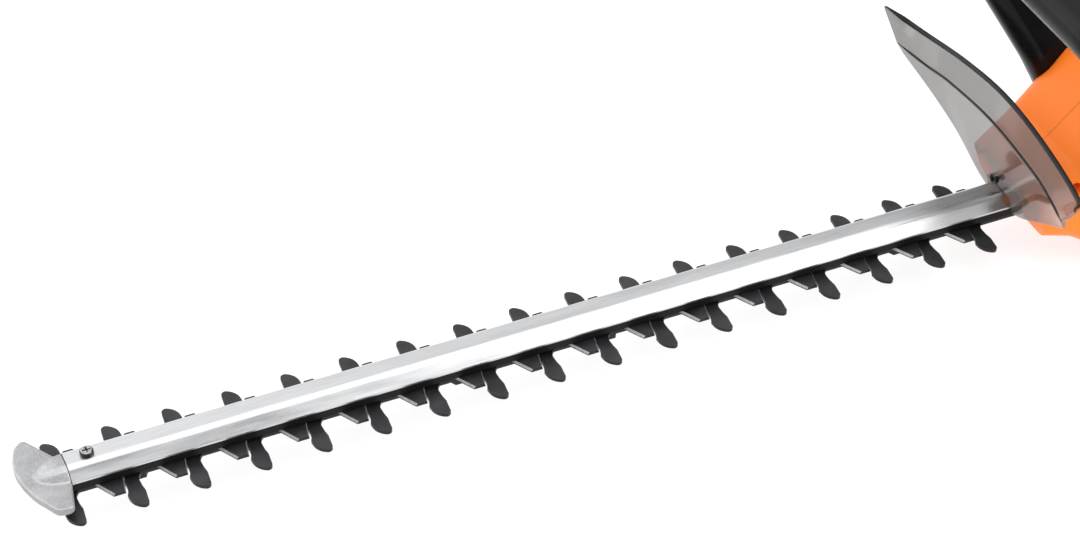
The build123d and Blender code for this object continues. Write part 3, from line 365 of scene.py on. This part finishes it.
def make_materials():
    """One material for each of the record's slots."""
    return {
        "blade_steel": blade_steel(),
        "bar_aluminium": brushed("bar_aluminium", (0.63, 0.635, 0.64), 0.3, (0.02, 1, 1), 0.016, 2600),
        "cast_aluminium": cast_aluminium(),
        "dark_screw": dark_screw(),
        "strip_plastic": varied("strip_plastic", (0.004, 0.004, 0.0045), 0.5, grain=1200, grain_depth=0.04,
                                specular=0.15),
        "orange_plastic": orange_plastic(),
        "black_gloss": varied("black_gloss", (0.003, 0.003, 0.0034), 0.27, grain=420, grain_depth=0.008,
                              rough_spread=0.05, specular=0.16),
        "black_plastic": varied("black_plastic", (0.012, 0.012, 0.013), 0.46, grain=1500, grain_depth=0.06,
                                specular=0.35),
        "smoky_clear": smoky_clear(),
        "gear_steel": brushed("gear_steel", (0.52, 0.52, 0.53), 0.3, (1, 1, 0.1), 0.01, 1500),
        "bearing_steel": brushed("bearing_steel", (0.66, 0.66, 0.68), 0.22, (1, 1, 0.1), 0.006, 1500),
        "gearbox_alloy": varied("gearbox_alloy", (0.52, 0.53, 0.54), 0.5, grain=1100, grain_depth=0.1,
                                metallic=0.85),
        "screw_steel": brushed("screw_steel", (0.45, 0.45, 0.46), 0.3, (1, 1, 1), 0.01, 900),
        "motor_steel": brushed("motor_steel", (0.50, 0.50, 0.50), 0.34, (1, 1, 0.05), 0.01, 1600),
        "magnet_dark": varied("magnet_dark", (0.05, 0.05, 0.052), 0.6, grain=900, grain_depth=0.08,
                              metallic=0.2),
        "core_steel": brushed("core_steel", (0.30, 0.28, 0.26), 0.4, (0.05, 0.05, 1), 0.05, 2500),
        "copper": brushed("copper", (0.75, 0.33, 0.16), 0.28, (0.05, 0.05, 1), 0.1, 1400),
        "board_green": varied("board_green", (0.03, 0.13, 0.05), 0.35, grain=500, grain_depth=0.05,
                              mottle=0.3, mottle_scale=220, coat=0.2),
        "contact_brass": brushed("contact_brass", (0.78, 0.60, 0.30), 0.25, (1, 0.1, 1), 0.01, 1500),
        "cell_wrap": varied("cell_wrap", (0.05, 0.22, 0.42), 0.3, grain=160, grain_depth=0.03, coat=0.3),
        "red_lead": varied("red_lead", (0.45, 0.03, 0.02), 0.45, grain=800, grain_depth=0.03),
        "spring_steel": brushed("spring_steel", (0.5, 0.5, 0.52), 0.25, (1, 1, 1), 0.01, 1200),
    }


def dress_nodes(materials):
    """Gives every CAD node the material of its slot."""
    for row in frame["record"]["subparts"]:
        node = frame["nodes"][row["node"]]
        node.data.materials.clear()
        node.data.materials.append(materials[row["material_slot"]])


# ---- shapes --------------------------------------------------------------------------
def placed(name, made):
    """A new object of this name with the shape in made."""
    mesh = bpy.data.meshes.new(name)
    made.to_mesh(mesh)
    made.free()
    shape = bpy.data.objects.new(name, mesh)
    bpy.context.scene.collection.objects.link(shape)
    return shape


def settled(shape, *helpers):
    """The mesh of a shape with its modifiers applied; the shape and its helpers go."""
    bpy.context.view_layer.update()
    seen = shape.evaluated_get(bpy.context.evaluated_depsgraph_get())
    made = bmesh.new()
    made.from_mesh(bpy.data.meshes.new_from_object(seen))
    for gone in (shape, *helpers):
        bpy.data.objects.remove(gone)
    return made


# ---- the hand guard ------------------------------------------------------------------
def smooth_line(half):
    """Points in metres on a smooth line through a line's right half and its mirror image."""
    knots = [Vector((x, -y, z)) for x, y, z in reversed(half) if y > 0]
    knots += [Vector(point) for point in half]
    knots = [2 * knots[0] - knots[1], *knots, 2 * knots[-1] - knots[-2]]
    spans = len(knots) - 3
    points = []
    for column in range(GUARD_COLUMNS + 1):
        along = column / GUARD_COLUMNS * spans
        span = min(int(along), spans - 1)
        points.append(between_knots(*knots[span:span + 4], along - span) * MM)
    return points


def between_knots(before, start, end, after, t):
    """A Catmull-Rom curve's point from start (t = 0) to end (t = 1)."""
    swing = 2 * before - 5 * start + 4 * end - after
    bend = 3 * start - before - 3 * end + after
    return (2 * start + (end - before) * t + swing * t ** 2 + bend * t ** 3) / 2


def guard_column(foot, crease, rim):
    """One line up the guard, softly rounded where it passes the crease."""
    column = [foot.lerp(crease, row / GUARD_PANEL_ROWS) for row in range(GUARD_PANEL_ROWS)]
    under = foot.lerp(crease, CREASE_START)
    over = crease.lerp(rim, CREASE_END)
    corner = under.lerp(crease, 1 - CREASE_CUT).lerp(crease.lerp(over, CREASE_CUT), 0.5)
    column += [under, corner, over]
    column += [over.lerp(rim, row / GUARD_BAND_ROWS) for row in range(1, GUARD_BAND_ROWS + 1)]
    return column


def guard_sheet(lines):
    """The guard's sheet, thick and with the notch and rounded edges."""
    made = bmesh.new()
    grid = [[made.verts.new(point) for point in guard_column(*ends)] for ends in zip(*lines)]
    for first, second in zip(grid, grid[1:]):
        for row in range(len(first) - 1):
            made.faces.new((first[row], second[row], second[row + 1], first[row + 1]))
    bmesh.ops.recalc_face_normals(made, faces=made.faces)
    if sum(face.normal.x for face in made.faces) < 0:
        bmesh.ops.reverse_faces(made, faces=made.faces)
    sheet = placed("guard_sheet", made)
    thick = sheet.modifiers.new("thick", "SOLIDIFY")
    thick.thickness = GUARD_THICKNESS
    thick.offset = 1.0
    cutter = notch_cutter()
    cut = sheet.modifiers.new("notch", "BOOLEAN")
    cut.operation = "DIFFERENCE"
    cut.solver = "EXACT"
    cut.object = cutter
    soft = sheet.modifiers.new("soft", "BEVEL")
    soft.width = GUARD_EDGE
    soft.segments = 2
    soft.limit_method = "ANGLE"
    soft.angle_limit = GUARD_EDGE_ANGLE
    return settled(sheet, cutter)


def notch_cutter():
    """The box that cuts the notch for the bar out of the sheet."""
    box = bmesh.new()
    bmesh.ops.create_cube(box, size=1.0)
    bmesh.ops.scale(box, vec=(NOTCH_LENGTH, 2 * NOTCH_HALF, NOTCH_HEIGHT), verts=box.verts)
    bmesh.ops.translate(box, vec=(NOTCH_X, 0, NOTCH_TOP - NOTCH_HEIGHT / 2), verts=box.verts)
    return placed("notch_cutter", box)


def add_bead(made, centres, radii):
    """Adds a closed tube along a line of points."""
    rings = []
    for index, centre in enumerate(centres):
        ahead = centres[min(index + 1, len(centres) - 1)] - centres[max(index - 1, 0)]
        side = ahead.cross(Vector((1, 0, 0))).normalized()
        up = side.cross(ahead).normalized()
        turns = [2 * math.pi * i / BEAD_SIDES for i in range(BEAD_SIDES)]
        rings.append([
            made.verts.new(centre + (side * math.cos(a) + up * math.sin(a)) * radii[index]) for a in turns
        ])
    faces = [made.faces.new(reversed(rings[0])), made.faces.new(rings[-1])]
    for first, second in zip(rings, rings[1:]):
        for i in range(BEAD_SIDES):
            after = (i + 1) % BEAD_SIDES
            faces.append(made.faces.new((first[i], first[after], second[after], second[i])))
    for face in faces:
        face.material_index = BEAD_MATERIAL


def bead_radii(radius):
    """A bead's radius at each column, thin at both ends."""
    last = GUARD_COLUMNS
    ends = [min(i, last - i) / last for i in range(last + 1)]
    return [radius * (BEAD_END + (1 - BEAD_END) * min(1.0, end / BEAD_TAPER)) for end in ends]


def hand_guard(materials):
    """The hand guard: a smoky sheet with a dark bead on its rim and its crease."""
    lines = [smooth_line(half) for half in (GUARD_FOOT, GUARD_CREASE, GUARD_RIM)]
    lines = [[Vector((x, y * GUARD_INSET, z)) for x, y, z in line] for line in lines]
    made = guard_sheet(lines)
    backwards = Vector((GUARD_THICKNESS / 2, 0, 0))
    _, crease, rim = lines
    for line, radius, back in ((rim, RIM_BEAD, RIM_BEAD_BACK), (crease, CREASE_BEAD, CREASE_BEAD_BACK)):
        add_bead(made, [point + back * backwards for point in line], bead_radii(radius))
    bmesh.ops.recalc_face_normals(made, faces=made.faces)
    for face in made.faces:
        face.smooth = True
    guard = placed("clear_hand_guard", made)
    guard.data.set_sharp_from_angle(angle=GUARD_SHARP_ANGLE)
    guard.data.materials.append(materials["smoky_clear"])
    guard.data.materials.append(smoky_rim())
    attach(guard, "tool")
    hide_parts("hand_guard")


# ---- the tip guard -------------------------------------------------------------------
def cast_nose(materials):
    """The tip guard as cast: the CAD solid with its corners and creases softened."""
    source = frame["nodes"]["tip_guard"]
    rough = bpy.data.objects.new("rough_nose", source.data.copy())
    bpy.context.scene.collection.objects.link(rough)
    grid = rough.modifiers.new("grid", "REMESH")
    grid.mode = "VOXEL"
    grid.voxel_size = NOSE_VOXEL
    soft = rough.modifiers.new("soft", "SMOOTH")
    soft.factor = NOSE_SMOOTHING
    soft.iterations = NOSE_SMOOTHINGS
    made = settled(rough)
    for face in made.faces:
        face.smooth = True
    nose = placed("cast_tip_guard", made)
    nose.data.materials.append(materials["cast_aluminium"])
    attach(nose, "tool")
    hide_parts("tip_guard")


# ---- the lock-off button's spring ----------------------------------------------------
def lock_off_coil():
    """The spring under the lock-off button, copied from its CAD part into an object of its own."""
    coil = bpy.data.objects.new("lock_off_coil", frame["nodes"]["lock_off_spring"].data.copy())
    bpy.context.scene.collection.objects.link(coil)
    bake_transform(coil)
    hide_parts("lock_off_spring")


# ---- camera, floor and lights --------------------------------------------------------
def add_camera():
    data = bpy.data.cameras.new("camera")
    data.lens = CAMERA_LENS
    data.sensor_width = SENSOR_WIDTH
    camera = bpy.data.objects.new("camera", data)
    turn = Matrix((CAMERA_RIGHT, CAMERA_UP, CAMERA_BACK)).transposed()
    camera.matrix_world = Matrix.Translation(CAMERA_PLACE) @ turn.to_4x4()
    bpy.context.scene.collection.objects.link(camera)
    bpy.context.scene.camera = camera


def add_floor():
    """A pale floor that glows a little, just under the tool."""
    mesh = bpy.data.meshes.new("floor")
    half = FLOOR_SIZE / 2
    corners = [(-half, -half, 0), (half, -half, 0), (half, half, 0), (-half, half, 0)]
    mesh.from_pydata(corners, [], [(0, 1, 2, 3)])
    floor = bpy.data.objects.new("floor", mesh)
    floor.location.z = -FLOOR_DROP
    material, shader = new_material("floor")
    shader.inputs["Base Color"].default_value = FLOOR_COLOUR
    shader.inputs["Roughness"].default_value = FLOOR_ROUGHNESS
    shader.inputs["Specular IOR Level"].default_value = FLOOR_SPECULAR
    shader.inputs["Emission Color"].default_value = (1, 1, 1, 1)
    shader.inputs["Emission Strength"].default_value = FLOOR_GLOW
    mesh.materials.append(material)
    bpy.context.scene.collection.objects.link(floor)


def add_light(name, spot, target, size, power):
    """A soft box at a spot, aimed at a target."""
    data = bpy.data.lights.new(name, "AREA")
    data.shape = "RECTANGLE"
    data.size, data.size_y = size
    data.energy = power
    light = bpy.data.objects.new(name, data)
    light.location = spot
    aim = Vector(target) - Vector(spot)
    light.rotation_euler = aim.to_track_quat("-Z", "Y").to_euler()
    bpy.context.scene.collection.objects.link(light)


def ramp(tree, value, source, target):
    """Maps a value from one span onto another with soft ends."""
    node = tree.nodes.new("ShaderNodeMapRange")
    node.interpolation_type = "SMOOTHSTEP"
    for socket, number in zip(("From Min", "From Max", "To Min", "To Max"), (*source, *target)):
        node.inputs[socket].default_value = number
    tree.links.new(value, node.inputs["Value"])
    return node.outputs["Result"]


def add_world():
    """A soft studio room: how bright it is in a direction depends on the side and the height."""
    world = bpy.data.worlds.new("studio")
    world.use_nodes = True
    tree = world.node_tree
    coordinates = tree.nodes.new("ShaderNodeTexCoord")
    split = tree.nodes.new("ShaderNodeSeparateXYZ")
    tree.links.new(coordinates.outputs["Generated"], split.inputs["Vector"])
    right = ramp(tree, split.outputs["X"], RIGHT_LIGHT_X, RIGHT_LIGHT)
    share = ramp(tree, split.outputs["Y"], LEFT_SHARE_Y, LEFT_SHARE)
    low_left = ramp(tree, split.outputs["X"], LEFT_LIGHT_X, LEFT_LIGHT)
    high_left = ramp(tree, split.outputs["Z"], LEFT_HIGH_Z, LEFT_HIGH)
    left = tree.nodes.new("ShaderNodeMath")
    left.operation = "MAXIMUM"
    tree.links.new(low_left, left.inputs[0])
    tree.links.new(high_left, left.inputs[1])
    sides = tree.nodes.new("ShaderNodeMix")
    tree.links.new(share, sides.inputs["Factor"])
    tree.links.new(right, sides.inputs["A"])
    tree.links.new(left.outputs["Value"], sides.inputs["B"])
    total = tree.nodes.new("ShaderNodeMath")
    tree.links.new(sides.outputs["Result"], total.inputs[0])
    tree.links.new(ramp(tree, split.outputs["X"], AHEAD_X, AHEAD), total.inputs[1])
    background = tree.nodes["Background"]
    background.inputs["Color"].default_value = WORLD_COLOUR
    tree.links.new(total.outputs["Value"], background.inputs["Strength"])
    bpy.context.scene.world = world
    bpy.context.scene.view_settings.view_transform = "Standard"


def main():
    materials = make_materials()
    dress_nodes(materials)
    hand_guard(materials)
    cast_nose(materials)
    lock_off_coil()
    add_camera()
    add_floor()
    for box in SOFT_BOXES:
        add_light(*box)
    add_world()


main()
